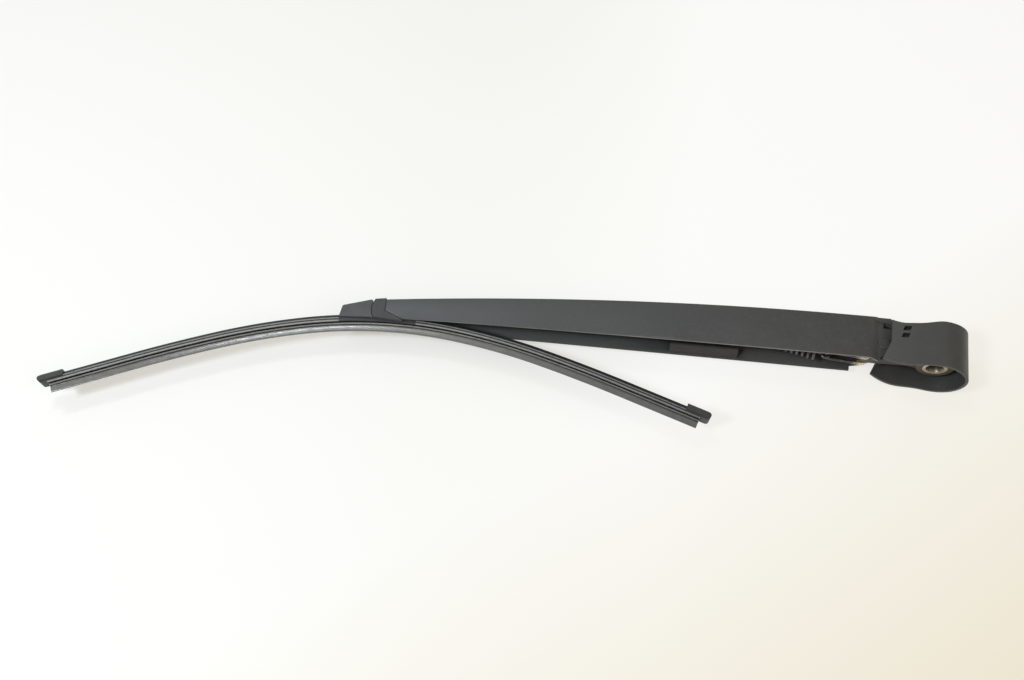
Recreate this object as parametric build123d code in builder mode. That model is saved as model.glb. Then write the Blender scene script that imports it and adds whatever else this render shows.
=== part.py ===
import os
from math import cos, degrees, hypot, radians, sin, sqrt, tan

from build123d import *

os.makedirs("parts", exist_ok=True)

# Frame: the spindle bore is at the origin along Y, the glass is on the -Y side,
# and the arm runs from the head towards -X.

# Pivot head
cup_radius = 17.8
head_wall = 1.7
flank_half_width = 16.2
flank_x = -16.0
neck_half_width = 11.2
neck_end_x = -36.0
pocket_half_width = 10.6
head_top = 16.1
top_line = ((-29.2, 14.3), (-24.7, 12.9), (-18.2, 12.9), (-14.0, 13.3), (-7.5, 14.7), (0.0, 16.1))
rim_line = (
    (-33.6, -10.4),
    (-27.0, -12.7),
    (-19.0, -13.5),
    (-8.0, -12.4),
    (0.0, -12.3),
    (8.0, -12.9),
    (20.0, -13.4),
)
floor_top = 6.0
floor_thickness = 3.0
boss_radius = 10.5
boss_face = -5.5
well_radius = 13.4
slot_size = (3.8, 3.0)
slot_centres = ((-21.1, 9.3), (-21.9, 4.7))
slot_slant = 0.6
slot_floor = 11.4

# Spindle bush
bush_radius = 6.8
bush_length = 12.0
bore_radius = 4.1
mouth_radius = 5.0
mouth_depth = 3.0

# Nut cover
cover_radius = 15.2
cover_thickness = 1.7
cover_skirt = 6.0
cover_wall = 1.2

# Hinge between head and arm
hinge_x = -31.5
hinge_y = 1.0
hinge_pin_radius = 2.5
hinge_bush_wall = 0.8
hinge_bush_flange = 4.2
hinge_flange_thickness = 0.6
tongue_radius = 4.6
rivet_radius = 3.4
rivet_height = 0.6
running_clearance = 0.04
knuckle_gap = 0.6
knuckle_lead = 6.0
side_play = 0.2

# Arm channel
sheet = 1.3
arm_tip_x = -321.4
arm_shoulder_x = -40.3
tip_half_width = 7.3
mid_half_width = 10.08
shoulder_half_width = 10.85
ear_half_width = 7.2
ear_start_x = -35.4
ear_radius = 7.0
roof_half_width = 8.6
roof_lip_low = 14.6
arm_mid_x = -185.0
top_at_tip = -23.2
top_at_middle = 0.0
top_at_end = 17.2
roof_end_x = -28.4
ear_notch = (-32.2, 11.0)
tip_corner = (-320.7, -31.0)
low_at_tip = -34.5
low_at_middle = -23.0
low_at_ear = -10.3
low_tip_x = -310.2
low_ear_x = -34.6
fold_radius = 1.8
tab_start_x = -152.0
tab_end_x = -112.0
tab_width = 7.6
tab_angle = 28.0
cutaway = ((-46.4, -8.3), (-40.8, -6.6), (-36.0, -5.4), (-32.0, -5.4))
swing_clearance = 0.8

# Tension spring and link
link_pin_x = -41.5
link_pin_y = -5.8
link_pin_radius = 1.5
link_web_radius = 2.4
link_wire_radius = 1.0
link_leg_z = 4.1
link_bend_x = -63.0
link_play = 0.2
link_head_height = 0.5
spring_pin_x = -128.0
spring_pin_y = 0.5
spring_pin_radius = 2.0
spring_wire_radius = 0.9
spring_radius = 4.3
spring_pitch = 3.2
spring_end_room = 6.0

# Blade, measured along its curve from the middle of the wiping edge
blade_x = -321.4
blade_y = -41.8
blade_tilt = 7.2
blade_arcs = ((45.0, 253.0), (50.0, 373.0), (50.0, 900.0))
rubber_half_length = 192.0
cap_length = 14.5
cap_overhang = 5.5
nose_outer_end = 24.5
base_outer_end = 24.4
plate_outer_end = 22.5
base_inner_end = 20.0

# Blade cross-section, heights above the wiping edge
lip_tip = 0.35
lip_root = 0.65
lip_height = 3.9
shoulder_half = 2.2
shoulder_height = 4.7
neck_half = 0.7
web_half = 1.1
rail_low = 5.6
rail_thickness = 0.9
rail_outer = 3.7
flange_half = 2.5
claw_low = 4.9
bead_height = 7.2
spoiler_half = 4.3
groove_half = 4.0
ridge_half = 2.5
blade_height = 9.9
cap_half = 4.7
cap_low = 6.1
cap_high = 10.9
cap_bevel = 1.1
cap_nose_radius = 2.4
fit_gap = 0.05

# Arm adapter and blade connector
pivot_x = -317.0
pivot_y = -29.2
pivot_pin_radius = 2.0
rib_half_width = 2.4
rib_radius = 3.4
adapter_end_radius = 11.9
adapter_inner_x = -296.0
adapter_wall = 0.95
adapter_top = -24.6
adapter_low = -36.3
nose_front_x = -346.7
nose_gap = 0.45
nose_front_half = 4.6
nose_back_half = 6.9
nose_front_top = -31.1
nose_back_top = -24.3
nose_back_slope = 0.5
nose_wall = 1.2
nose_seat_gap = 0.25


def round_bar(x, y, radius, z_low, z_high, mode=Mode.ADD):
    """Cylinder along Z between two heights."""
    with BuildSketch(Plane.XY.offset(z_low)) as disc:
        with Locations((x, y)):
            Circle(radius)
    extrude(disc.sketch, amount=z_high - z_low, mode=mode)


def head_plan(inset):
    """Egg-shaped outline of the head seen along the bore, open at the neck."""
    radius = cup_radius - inset
    with BuildSketch(Plane.XZ) as plan:
        with BuildLine():
            for side in (1, -1):
                ThreePointArc(
                    (neck_end_x, side * (neck_half_width - inset)),
                    (flank_x, side * (flank_half_width - inset)),
                    (0, side * radius),
                )
            ThreePointArc((0, radius), (radius, 0), (0, -radius))
            Line((neck_end_x, neck_half_width - inset), (neck_end_x, inset - neck_half_width))
        make_face()
    return plan.sketch


# Pivot head
tongue_half_width = ear_half_width - sheet - side_play - hinge_flange_thickness
link_web_half_width = link_leg_z - link_wire_radius - link_play
tongue_root_x = -0.8 * boss_radius
web_root_x = tongue_root_x - 6
roof_end_radius = hypot(roof_end_x - hinge_x, top_at_end - hinge_y)
with BuildPart() as head:
    extrude(head_plan(0), amount=60, both=True)
    with BuildSketch(Plane.XY):
        with BuildLine():
            top = Spline(*top_line, tangents=((1, -0.5), (1, 0)), tangent_scalars=(0.5, 1))
            low = Spline(*rim_line)
            Polyline(top @ 1, (rim_line[-1][0], head_top), low @ 1)
            Polyline(low @ 0, (top_line[0][0], 0.5), top @ 0)
        make_face()
    extrude(amount=30, both=True, mode=Mode.INTERSECT)
    # Cavity on the glass side, nut well on the outer side
    extrude(head_plan(head_wall), amount=floor_thickness - floor_top, mode=Mode.SUBTRACT)
    extrude(head_plan(head_wall), amount=30, mode=Mode.SUBTRACT)
    with BuildSketch(Plane.XZ.offset(-floor_top)):
        Circle(well_radius)
    extrude(amount=-30, mode=Mode.SUBTRACT)
    with BuildSketch(Plane.XZ.offset(cover_thickness - head_top)):
        Circle(cover_radius + fit_gap)
    extrude(amount=-10, mode=Mode.SUBTRACT)
    # Room for the arm's end to swing
    swing_radius = roof_end_radius + swing_clearance
    round_bar(hinge_x, hinge_y, swing_radius, -pocket_half_width, pocket_half_width, Mode.SUBTRACT)
    # Spindle boss and hinge tongue
    with BuildSketch(Plane.XZ.offset(-floor_top)):
        Circle(boss_radius)
    extrude(amount=floor_top - boss_face)
    with BuildSketch(Plane.XY):
        with Locations((hinge_x, hinge_y)):
            Circle(tongue_radius)
        with BuildLine():
            Polyline(
                (hinge_x, hinge_y + tongue_radius),
                (tongue_root_x, floor_top),
                (tongue_root_x, boss_face + 0.5),
                (hinge_x, hinge_y - tongue_radius),
                close=True,
            )
        make_face()
    extrude(amount=tongue_half_width, both=True)
    # Knuckle that the end of the arm's roof slides over
    knuckle_radius = top_at_end - sheet - hinge_y - knuckle_gap
    with BuildSketch(Plane.XY):
        with Locations((hinge_x, hinge_y)):
            Circle(knuckle_radius)
            Circle(knuckle_radius - head_wall, mode=Mode.SUBTRACT)
        with BuildLine():
            Polyline(
                (hinge_x, hinge_y),
                (hinge_x - knuckle_lead, hinge_y + knuckle_radius),
                (hinge_x + knuckle_radius, hinge_y + knuckle_radius),
                (hinge_x + knuckle_radius, floor_top - 1),
                close=True,
            )
        make_face(mode=Mode.INTERSECT)
    extrude(amount=tongue_half_width + hinge_flange_thickness, both=True)
    with BuildSketch(Plane.XY):
        with Locations((link_pin_x, link_pin_y)):
            Circle(link_web_radius)
        with BuildLine():
            Polyline(
                (link_pin_x - 0.55 * link_web_radius, link_pin_y + 0.83 * link_web_radius),
                (hinge_x, hinge_y + 0.5 * tongue_radius),
                (web_root_x, hinge_y),
                (web_root_x, boss_face),
                (link_pin_x, link_pin_y - link_web_radius),
                close=True,
            )
        make_face()
    extrude(amount=link_web_half_width, both=True)
    # Bores and the two recesses in the upper wall
    with BuildSketch(Plane.XZ.offset(-floor_top - 1)):
        Circle(bush_radius)
    extrude(amount=40, mode=Mode.SUBTRACT)
    bush_outer = hinge_pin_radius + hinge_bush_wall
    round_bar(hinge_x, hinge_y, bush_outer, -tongue_half_width, tongue_half_width, Mode.SUBTRACT)
    web_face = link_web_half_width
    round_bar(link_pin_x, link_pin_y, link_pin_radius, -web_face, web_face, Mode.SUBTRACT)
    for centre_x, centre_y in slot_centres:
        half_l, half_h = slot_size[0] / 2, slot_size[1] / 2
        with BuildSketch(Plane.XY.offset(slot_floor)):
            with BuildLine():
                Polyline(
                    (centre_x - half_l - slot_slant, centre_y - half_h),
                    (centre_x + half_l - slot_slant, centre_y - half_h),
                    (centre_x + half_l + slot_slant, centre_y + half_h),
                    (centre_x - half_l + slot_slant, centre_y + half_h),
                    close=True,
                )
            make_face()
        extrude(amount=20, mode=Mode.SUBTRACT)
head.part.label = "pivot_head"
export_step(head.part, "parts/pivot_head.step")

# Spindle bush: straight bore with a conical mouth towards the glass
bush_face = -bush_length / 2
with BuildPart() as bush:
    with BuildSketch(Plane.XY):
        with BuildLine():
            Polyline(
                (bore_radius, bush_length / 2),
                (bush_radius, bush_length / 2),
                (bush_radius, bush_face),
                (mouth_radius, bush_face),
                (bore_radius, bush_face + mouth_depth),
                close=True,
            )
        make_face()
    revolve(axis=Axis.Y)
bush.part.label = "pivot_bush"
export_step(bush.part, "parts/pivot_bush.step")

# Nut cover: a shallow domed cap with a skirt inside the well
with BuildPart() as cover:
    skirt_radius = well_radius - fit_gap
    cover_seat = head_top - cover_thickness
    with BuildSketch(Plane.XY):
        with BuildLine():
            Polyline(
                (0, cover_seat + fit_gap),
                (skirt_radius - cover_wall, cover_seat + fit_gap),
                (skirt_radius - cover_wall, cover_seat - cover_skirt),
                (skirt_radius, cover_seat - cover_skirt),
                (skirt_radius, cover_seat + fit_gap),
                (cover_radius, cover_seat + fit_gap),
                (cover_radius, head_top - 0.5),
                (cover_radius - 0.5, head_top),
                (0, head_top),
                close=True,
            )
        make_face()
    revolve(axis=Axis.Y)
cover.part.label = "nut_cover"
export_step(cover.part, "parts/nut_cover.step")


def flanged_bush(side):
    """Plain bush in one face of the tongue, side +1 above and -1 below."""
    inner = hinge_pin_radius + running_clearance
    outer = hinge_pin_radius + hinge_bush_wall
    face = tongue_half_width * side
    with BuildSketch(Plane.XY.offset(0.2 * side)) as barrel:
        with Locations((hinge_x, hinge_y)):
            Circle(outer)
            Circle(inner, mode=Mode.SUBTRACT)
    extrude(barrel.sketch, amount=face - 0.2 * side)
    with BuildSketch(Plane.XY.offset(face)) as flange:
        with Locations((hinge_x, hinge_y)):
            Circle(hinge_bush_flange)
            Circle(inner, mode=Mode.SUBTRACT)
    extrude(flange.sketch, amount=hinge_flange_thickness * side)


with BuildPart() as hinge_bush_upper:
    flanged_bush(1)
hinge_bush_upper.part.label = "hinge_bush_upper"
export_step(hinge_bush_upper.part, "parts/hinge_bush_upper.step")

with BuildPart() as hinge_bush_lower:
    flanged_bush(-1)
hinge_bush_lower.part.label = "hinge_bush_lower"
export_step(hinge_bush_lower.part, "parts/hinge_bush_lower.step")

# Cross pin in the head that holds the tension link
link_pin_half = link_leg_z + link_wire_radius + link_play
link_head = link_pin_half + link_head_height
with BuildPart() as link_pin:
    round_bar(link_pin_x, link_pin_y, link_pin_radius, -link_pin_half, link_pin_half)
    for z_low, z_high in ((link_pin_half, link_head), (-link_head, -link_pin_half)):
        round_bar(link_pin_x, link_pin_y, link_pin_radius + link_head_height, z_low, z_high)
link_pin.part.label = "link_anchor_pin"
export_step(link_pin.part, "parts/link_anchor_pin.step")


# Half-width of the channel along its length
taper = ThreePointArc(
    (arm_tip_x - 2, tip_half_width), (arm_mid_x, mid_half_width), (arm_shoulder_x, shoulder_half_width)
)


def arm_half(x):
    """Outer half-width of the channel at a place along it."""
    return (taper @ ((x - arm_tip_x + 2) / (arm_shoulder_x - arm_tip_x + 2))).Y


def arm_plan(inset, end_half):
    """Plan of the tapering channel, set in to another half-width at the hinge."""
    with BuildSketch(Plane.XZ) as plan:
        with BuildLine():
            for side in (1, -1):
                edge = ThreePointArc(
                    (arm_tip_x - 2, side * (tip_half_width - inset)),
                    (arm_mid_x, side * (mid_half_width - inset)),
                    (arm_shoulder_x, side * (shoulder_half_width - inset)),
                )
                Polyline(
                    edge @ 1,
                    (ear_start_x, side * (end_half - inset)),
                    (-10, side * (end_half - inset)),
                )
            Line((arm_tip_x - 2, tip_half_width - inset), (arm_tip_x - 2, inset - tip_half_width))
            Line((-10, end_half - inset), (-10, inset - end_half))
        make_face()
    return plan.sketch


# Glass-side edge of the channel
lower_edge = ThreePointArc((low_tip_x, low_at_tip), (arm_mid_x, low_at_middle), (low_ear_x, low_at_ear))


# Arm channel: one folded sheet, open towards the glass
with BuildPart() as arm:
    extrude(arm_plan(0, roof_half_width), amount=80, both=True)
    with BuildSketch(Plane.XY):
        with BuildLine():
            ThreePointArc((arm_tip_x, top_at_tip), (arm_mid_x, top_at_middle), (roof_end_x, top_at_end))
            add(lower_edge)
            Polyline((arm_tip_x, top_at_tip), tip_corner, lower_edge @ 0)
            ear_back = (hinge_x + ear_radius, hinge_y)
            ear_top = (hinge_x + 0.8 * ear_radius, hinge_y + 1.5 * ear_radius)
            Polyline((roof_end_x, top_at_end), ear_top, ear_back)
            ThreePointArc(
                ear_back,
                (hinge_x + ear_radius * cos(radians(45)), hinge_y - ear_radius * sin(radians(45))),
                (hinge_x, hinge_y - ear_radius),
            )
            Line((hinge_x, hinge_y - ear_radius), lower_edge @ 1)
        make_face()
    extrude(amount=30, both=True, mode=Mode.INTERSECT)
    long_edges = arm.edges().filter_by(lambda e: e.length > 200).sort_by(Axis.Y)[-2:]
    fillet(long_edges, fold_radius)
with BuildPart() as arm_room:
    extrude(arm_plan(sheet, ear_half_width), amount=80, both=True)
    with BuildSketch(Plane.XY):
        with BuildLine():
            roof = ThreePointArc(
                (arm_tip_x - 5, top_at_tip - sheet - 1.0),
                (arm_mid_x, top_at_middle - sheet),
                (roof_end_x + 15, top_at_end - sheet + 1.35),
            )
            Polyline(roof @ 1, (roof_end_x + 15, -80), (arm_tip_x - 5, -80), roof @ 0)
        make_face()
    extrude(amount=30, both=True, mode=Mode.INTERSECT)
with BuildPart() as arm_channel:
    add(arm.part)
    add(arm_room.part, mode=Mode.SUBTRACT)
    # The ears stand in under the edges of the roof
    for side in (1, -1):
        with BuildSketch(Plane.XZ.offset(-roof_lip_low)):
            with BuildLine():
                Polyline(
                    (arm_shoulder_x, side * shoulder_half_width),
                    (ear_start_x, side * ear_half_width),
                    (-10, side * ear_half_width),
                    (-10, side * 20),
                    (arm_shoulder_x, side * 20),
                    close=True,
                )
            make_face()
        extrude(amount=80, mode=Mode.SUBTRACT)
    # Corner taken off each ear beside the head's neck
    for z_low in (-roof_half_width, ear_half_width - sheet - fit_gap):
        with BuildSketch(Plane.XY.offset(z_low)):
            with BuildLine():
                Polyline(
                    ear_notch,
                    (ear_notch[0], roof_lip_low),
                    (hinge_x + ear_radius, roof_lip_low),
                    (hinge_x + ear_radius, ear_notch[1]),
                    close=True,
                )
            make_face()
        extrude(amount=roof_half_width - ear_half_width + sheet + fit_gap, mode=Mode.SUBTRACT)
    # One wall is cut away where the tension link is hooked in
    with BuildSketch(Plane.XY.offset(-20)):
        with BuildLine():
            Polyline((cutaway[0][0], -40), *cutaway, (cutaway[-1][0], -40), close=True)
        make_face()
    extrude(amount=20 - ear_half_width + sheet, mode=Mode.SUBTRACT)
    # Tabs folded in along both lower edges
    tab_start, tab_end = (
        lower_edge @ ((x - low_tip_x) / (low_ear_x - low_tip_x)) for x in (tab_start_x, tab_end_x)
    )
    tab_half = arm_half(tab_start_x)
    tab_reach = tab_width * cos(radians(tab_angle))
    tab_rise = tab_width * sin(radians(tab_angle))
    tab_depth = sheet / cos(radians(tab_angle))
    for side in (1, -1):
        with BuildSketch(Plane(origin=tab_start, x_dir=(0, 0, -1), z_dir=tab_end - tab_start)):
            with BuildLine():
                Polyline(
                    (-side * tab_half, 0),
                    (-side * (tab_half - tab_reach), tab_rise),
                    (-side * (tab_half - tab_reach), tab_rise + tab_depth),
                    (-side * tab_half, tab_depth),
                    close=True,
                )
            make_face()
        extrude(amount=(tab_end - tab_start).length)
    round_bar(hinge_x, hinge_y, hinge_pin_radius, -20, 20, Mode.SUBTRACT)
arm_channel.part.label = "arm_channel"
export_step(arm_channel.part, "parts/arm_channel.step")

# Hinge rivet, fixed in the ears
with BuildPart() as hinge_pin:
    round_bar(hinge_x, hinge_y, hinge_pin_radius, -ear_half_width, ear_half_width)
    for z_low in (ear_half_width, -ear_half_width - rivet_height):
        round_bar(hinge_x, hinge_y, rivet_radius, z_low, z_low + rivet_height)
hinge_pin.part.label = "hinge_pin"
export_step(hinge_pin.part, "parts/hinge_pin.step")

# Cross pin between the arm's walls that holds the far end of the spring
spring_pin_half = arm_half(spring_pin_x) - sheet - fit_gap
with BuildPart() as spring_pin:
    round_bar(spring_pin_x, spring_pin_y, spring_pin_radius, -spring_pin_half, spring_pin_half)
spring_pin.part.label = "spring_anchor_pin"
export_step(spring_pin.part, "parts/spring_anchor_pin.step")

# Tension link: a wire hairpin with both ends hooked over the head's cross pin
hook_radius = link_pin_radius + link_wire_radius + link_play
link_y = link_pin_y - hook_radius
link_leg_end = link_bend_x + link_leg_z
hook_turn = 200
with BuildPart() as link:
    for side in (1, -1):
        with BuildSketch(Plane(origin=(link_pin_x, link_y, side * link_leg_z), z_dir=(-1, 0, 0))) as wire_end:
            RegularPolygon(link_wire_radius, 6)
        extrude(wire_end.sketch, amount=link_pin_x - link_leg_end)
        revolve(wire_end.sketch, Axis((link_pin_x, link_pin_y, 0), (0, 0, 1)), hook_turn)
    with BuildSketch(Plane(origin=(link_leg_end, link_y, link_leg_z), z_dir=(-1, 0, 0))) as bend_end:
        RegularPolygon(link_wire_radius, 6)
    revolve(bend_end.sketch, Axis((link_leg_end, link_y, 0), (0, -1, 0)), 180)
link.part.label = "tension_link"
export_step(link.part, "parts/tension_link.step")

# Tension spring along the line from the link's bend to its pin in the arm
spring_run = Vector(spring_pin_x - link_bend_x, spring_pin_y - link_y, 0)
spring_axis = spring_run.normalized()
link_loop = link_wire_radius + spring_wire_radius + fit_gap
pin_loop = spring_pin_radius + spring_wire_radius + fit_gap
spring_turns = int((spring_run.length - 2 * spring_end_room) / spring_pitch)
coil_length = spring_turns * spring_pitch
coil_start = (spring_run.length - coil_length) / 2
spring_origin = Vector(link_bend_x, link_y, 0)
sections_per_turn = 8
coil_lead = spring_pitch / (radians(360) * spring_radius)


def spring_point(distance):
    """Point on the spring's axis, measured from the link's bend."""
    return spring_origin + spring_axis * distance


def spring_rod(start, end):
    """Straight piece of the spring's wire."""
    with BuildSketch(Plane(origin=start, z_dir=end - start)) as disc:
        RegularPolygon(spring_wire_radius, 6)
    extrude(disc.sketch, amount=(end - start).length)


def spring_loop(centre, radius):
    """Closed end loop of the spring."""
    with BuildSketch(Plane(origin=centre + (radius, 0, 0), z_dir=(0, 1, 0))) as disc:
        RegularPolygon(spring_wire_radius, 6)
    revolve(disc.sketch, Axis(centre, (0, 0, 1)))


with BuildPart() as spring:
    # The coil runs through sections set around each turn
    across = Vector(0, 0, 1)
    level = spring_axis.cross(across)
    for step in range(spring_turns * sections_per_turn + 1):
        turn = radians(360 * step / sections_per_turn)
        outward = across * cos(turn) + level * sin(turn)
        ahead = level * cos(turn) - across * sin(turn) + spring_axis * coil_lead
        middle = spring_point(coil_start + step * spring_pitch / sections_per_turn)
        with BuildSketch(Plane(origin=middle + outward * spring_radius, x_dir=outward, z_dir=ahead)):
            RegularPolygon(spring_wire_radius, 6)
    loft(ruled=True)
    for coil_end, loop_end in (
        (coil_start, link_loop),
        (coil_start + coil_length, spring_run.length - pin_loop),
    ):
        spring_rod(spring_point(coil_end), spring_point(coil_end) + across * spring_radius)
        spring_rod(spring_point(loop_end), spring_point(coil_end))
    for centre, radius in ((spring_origin, link_loop), (spring_point(spring_run.length), pin_loop)):
        spring_loop(centre, radius)
spring.part.label = "tension_spring"
export_step(spring.part, "parts/tension_spring.step")

# Blade curve: tangent arcs, tightest in the middle, straight at both ends
blade_end = rubber_half_length + cap_overhang
arc_ends = [sum(length for length, _ in blade_arcs[: i + 1]) for i in range(len(blade_arcs))]
blade_pieces = [(-blade_end, -arc_ends[-1], None)]
for i in reversed(range(1, len(blade_arcs))):
    blade_pieces += [(-arc_ends[i], -arc_ends[i - 1], blade_arcs[i][1])]
blade_pieces += [(-arc_ends[0], arc_ends[0], blade_arcs[0][1])]
blade_pieces += [(arc_ends[i - 1], arc_ends[i], blade_arcs[i][1]) for i in range(1, len(blade_arcs))]
blade_pieces += [(arc_ends[-1], blade_end, None)]


def blade_station(distance):
    """Point on the wiping edge and the heading there, at a distance along the curve."""
    x, y, heading = blade_x, blade_y, radians(blade_tilt)
    sign = 1 if distance >= 0 else -1
    for low, high, radius in blade_pieces if sign > 0 else reversed(blade_pieces):
        step = sign * (min(distance, high) - max(0, low)) if sign > 0 else max(distance, low) - min(0, high)
        if step * sign <= 0:
            continue
        if radius is None:
            x, y = x + step * cos(heading), y + step * sin(heading)
        else:
            new = heading - step / radius
            x += radius * (sin(heading) - sin(new))
            y += radius * (cos(new) - cos(heading))
            heading = new
    return x, y, heading


def blade_point(distance, height):
    """Point at a height above the wiping edge."""
    x, y, heading = blade_station(distance)
    return Vector(x - height * sin(heading), y + height * cos(heading))


def blade_plane(distance, way=1):
    """Section plane: its Y runs away from the glass, its Z along the blade."""
    x, y, heading = blade_station(distance)
    return Plane(origin=(x, y, 0), x_dir=(0, 0, -way), z_dir=(way * cos(heading), way * sin(heading), 0))


def blade_sweep(start, end, half_section, mode=Mode.ADD, mirrored=True):
    """Sweep a section, given by its right-hand half, along part of the blade."""
    points = list(half_section)
    if mirrored:
        points += [(-x, y) for x, y in reversed(half_section) if x > 0]
    with BuildSketch(blade_plane(start)) as section:
        with BuildLine():
            Polyline(*points, close=True)
        make_face()
    with BuildLine() as path:
        for low, high, radius in blade_pieces:
            low, high = max(low, start), min(high, end)
            if high <= low:
                continue
            x, y, heading = blade_station(low)
            if radius is None:
                Line((x, y), blade_station(high)[:2])
            else:
                JernArc((x, y), (cos(heading), sin(heading)), radius, -degrees((high - low) / radius))
    sweep(sections=section.sketch, path=path.wires()[0], mode=mode)


rail_high = rail_low + rail_thickness
claw_half_section = (
    (flange_half + 0.3, claw_low),
    (spoiler_half, claw_low),
    (spoiler_half, rail_low + 0.3),
    (groove_half, rail_low + 0.5),
    (groove_half, bead_height - 0.4),
    (spoiler_half, bead_height - 0.2),
    (spoiler_half, bead_height),
)
rail_slot_section = (
    (0, bead_height),
    (flange_half + fit_gap, bead_height),
    (flange_half + fit_gap, rail_high + fit_gap),
    (rail_outer + fit_gap, rail_high + fit_gap),
    (rail_outer + fit_gap, rail_low - fit_gap),
    (flange_half + 0.3, rail_low - fit_gap),
)

# Wiping rubber, one extrusion from end to end
with BuildPart() as rubber:
    blade_sweep(
        -rubber_half_length,
        rubber_half_length,
        (
            (0, 0),
            (lip_tip, 0),
            (lip_root, lip_height),
            (shoulder_half, lip_height + 0.1),
            (shoulder_half, shoulder_height - 0.3),
            (shoulder_half - 0.4, shoulder_height),
            (neck_half, shoulder_height),
            (neck_half, rail_low - 0.45),
            (flange_half - 0.3, rail_low - 0.45),
            (flange_half - 0.3, rail_low - fit_gap),
            (web_half, rail_low - fit_gap),
            (web_half, rail_high + fit_gap),
            (flange_half, rail_high + fit_gap),
            (flange_half, bead_height - fit_gap),
            (0, bead_height - fit_gap),
        ),
    )
rubber.part.label = "wiper_rubber"
export_step(rubber.part, "parts/wiper_rubber.step")

# Two spring-steel rails in the rubber's grooves
for rail_name, side in (("upper_rail", -1), ("lower_rail", 1)):
    with BuildPart() as rail:
        blade_sweep(
            -rubber_half_length,
            rubber_half_length,
            (
                (side * (web_half + fit_gap), rail_low),
                (side * rail_outer, rail_low),
                (side * rail_outer, rail_high),
                (side * (web_half + fit_gap), rail_high),
            ),
            mirrored=False,
        )
    rail.part.label = rail_name
    export_step(rail.part, f"parts/{rail_name}.step")

# Spoilers from the connector to both end caps
cap_start = rubber_half_length + cap_overhang - cap_length
spoiler_half_section = rail_slot_section + claw_half_section + (
    (spoiler_half, bead_height + 0.3),
    (ridge_half + 0.7, blade_height - 1.2),
    (ridge_half, blade_height),
    (0, blade_height),
)
cap_lug_section = (
    (flange_half + 0.3, claw_low),
    (spoiler_half, claw_low),
    (spoiler_half, rail_low + 0.3),
    (groove_half, cap_low - fit_gap),
    (rail_outer + fit_gap, cap_low - fit_gap),
    (rail_outer + fit_gap, rail_low - fit_gap),
    (flange_half + 0.3, rail_low - fit_gap),
)
for spoiler_name, start, end in (
    ("outer_spoiler", fit_gap - cap_start, -nose_outer_end - 2 * fit_gap),
    ("inner_spoiler", base_inner_end + fit_gap, cap_start - fit_gap),
):
    with BuildPart() as spoiler:
        blade_sweep(start, end, spoiler_half_section)
        # Two lugs run on under the cap to the end of the rubber
        lug_start, lug_end = (-rubber_half_length, start) if start < 0 else (end, rubber_half_length)
        for side in (1, -1):
            lug = [(side * x, y) for x, y in cap_lug_section]
            blade_sweep(lug_start, lug_end, lug, mirrored=False)
    spoiler.part.label = spoiler_name
    export_step(spoiler.part, f"parts/{spoiler_name}.step")


# End caps, closed over the ends of the rails
for cap_name, way in (("outer_end_cap", -1), ("inner_end_cap", 1)):
    cap_plane = blade_plane(way * cap_start, way)
    with BuildPart() as cap:
        with BuildSketch(cap_plane):
            with BuildLine():
                Polyline(
                    (cap_bevel - cap_half, cap_low),
                    (cap_half - cap_bevel, cap_low),
                    (cap_half, cap_low + cap_bevel),
                    (cap_half, cap_high - cap_bevel),
                    (cap_half - cap_bevel, cap_high),
                    (cap_bevel - cap_half, cap_high),
                    (-cap_half, cap_high - cap_bevel),
                    (-cap_half, cap_low + cap_bevel),
                    close=True,
                )
            make_face()
        extrude(amount=cap_length)
        # Rounded end in the side view
        side_plane = Plane(origin=cap_plane.origin, x_dir=cap_plane.z_dir, z_dir=-cap_plane.x_dir)
        with BuildSketch(side_plane) as side_view:
            with Locations((cap_length / 2, (cap_low + cap_high) / 2)):
                Rectangle(cap_length, cap_high - cap_low)
            fillet(side_view.vertices().sort_by(Axis.X)[-2:], cap_nose_radius)
        extrude(amount=cap_half, both=True, mode=Mode.INTERSECT)
        with BuildSketch(cap_plane):
            with Locations((0, rail_low + rail_thickness / 2)):
                Rectangle(2 * (rail_outer + fit_gap), rail_thickness + 2 * fit_gap)
            with Locations((0, bead_height / 2)):
                Rectangle(2 * (flange_half + fit_gap), bead_height + 4 * fit_gap)
        extrude(amount=cap_length - cap_overhang + fit_gap, mode=Mode.SUBTRACT)
    cap.part.label = cap_name
    export_step(cap.part, f"parts/{cap_name}.step")

# Connector base: clamps the rails and carries the pivot rib
base_top = bead_height + 1.4
plate_half = nose_front_half - nose_wall
claw_top = ((spoiler_half, bead_height + nose_seat_gap / 2), (0, bead_height + nose_seat_gap / 2))
plate_section = (
    (0, bead_height),
    (plate_half - 2 * fit_gap, bead_height),
    (plate_half - 2 * fit_gap, base_top),
    (0, base_top),
)
with BuildPart() as base:
    blade_sweep(-base_outer_end, base_inner_end, rail_slot_section + claw_half_section[:-1] + claw_top)
    blade_sweep(-plate_outer_end, base_inner_end, plate_section)
    with BuildSketch(Plane.XY):
        with Locations((pivot_x, pivot_y)):
            Circle(rib_radius)
        with BuildLine():
            Polyline(
                (pivot_x - rib_radius, pivot_y),
                blade_point(-4, base_top - 0.5),
                blade_point(14, base_top - 0.5),
                (pivot_x + rib_radius, pivot_y),
                close=True,
            )
        make_face()
    extrude(amount=rib_half_width, both=True)
    round_bar(pivot_x, pivot_y, pivot_pin_radius, -rib_half_width, rib_half_width, Mode.SUBTRACT)
base.part.label = "connector_base"
export_step(base.part, "parts/connector_base.step")

# Blade pivot pin, fixed in the rib
adapter_half = tip_half_width - sheet - 2 * fit_gap
with BuildPart() as pivot_pin:
    round_bar(pivot_x, pivot_y, pivot_pin_radius, fit_gap - adapter_half, adapter_half - fit_gap)
pivot_pin.part.label = "blade_pivot_pin"
export_step(pivot_pin.part, "parts/blade_pivot_pin.step")

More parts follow.
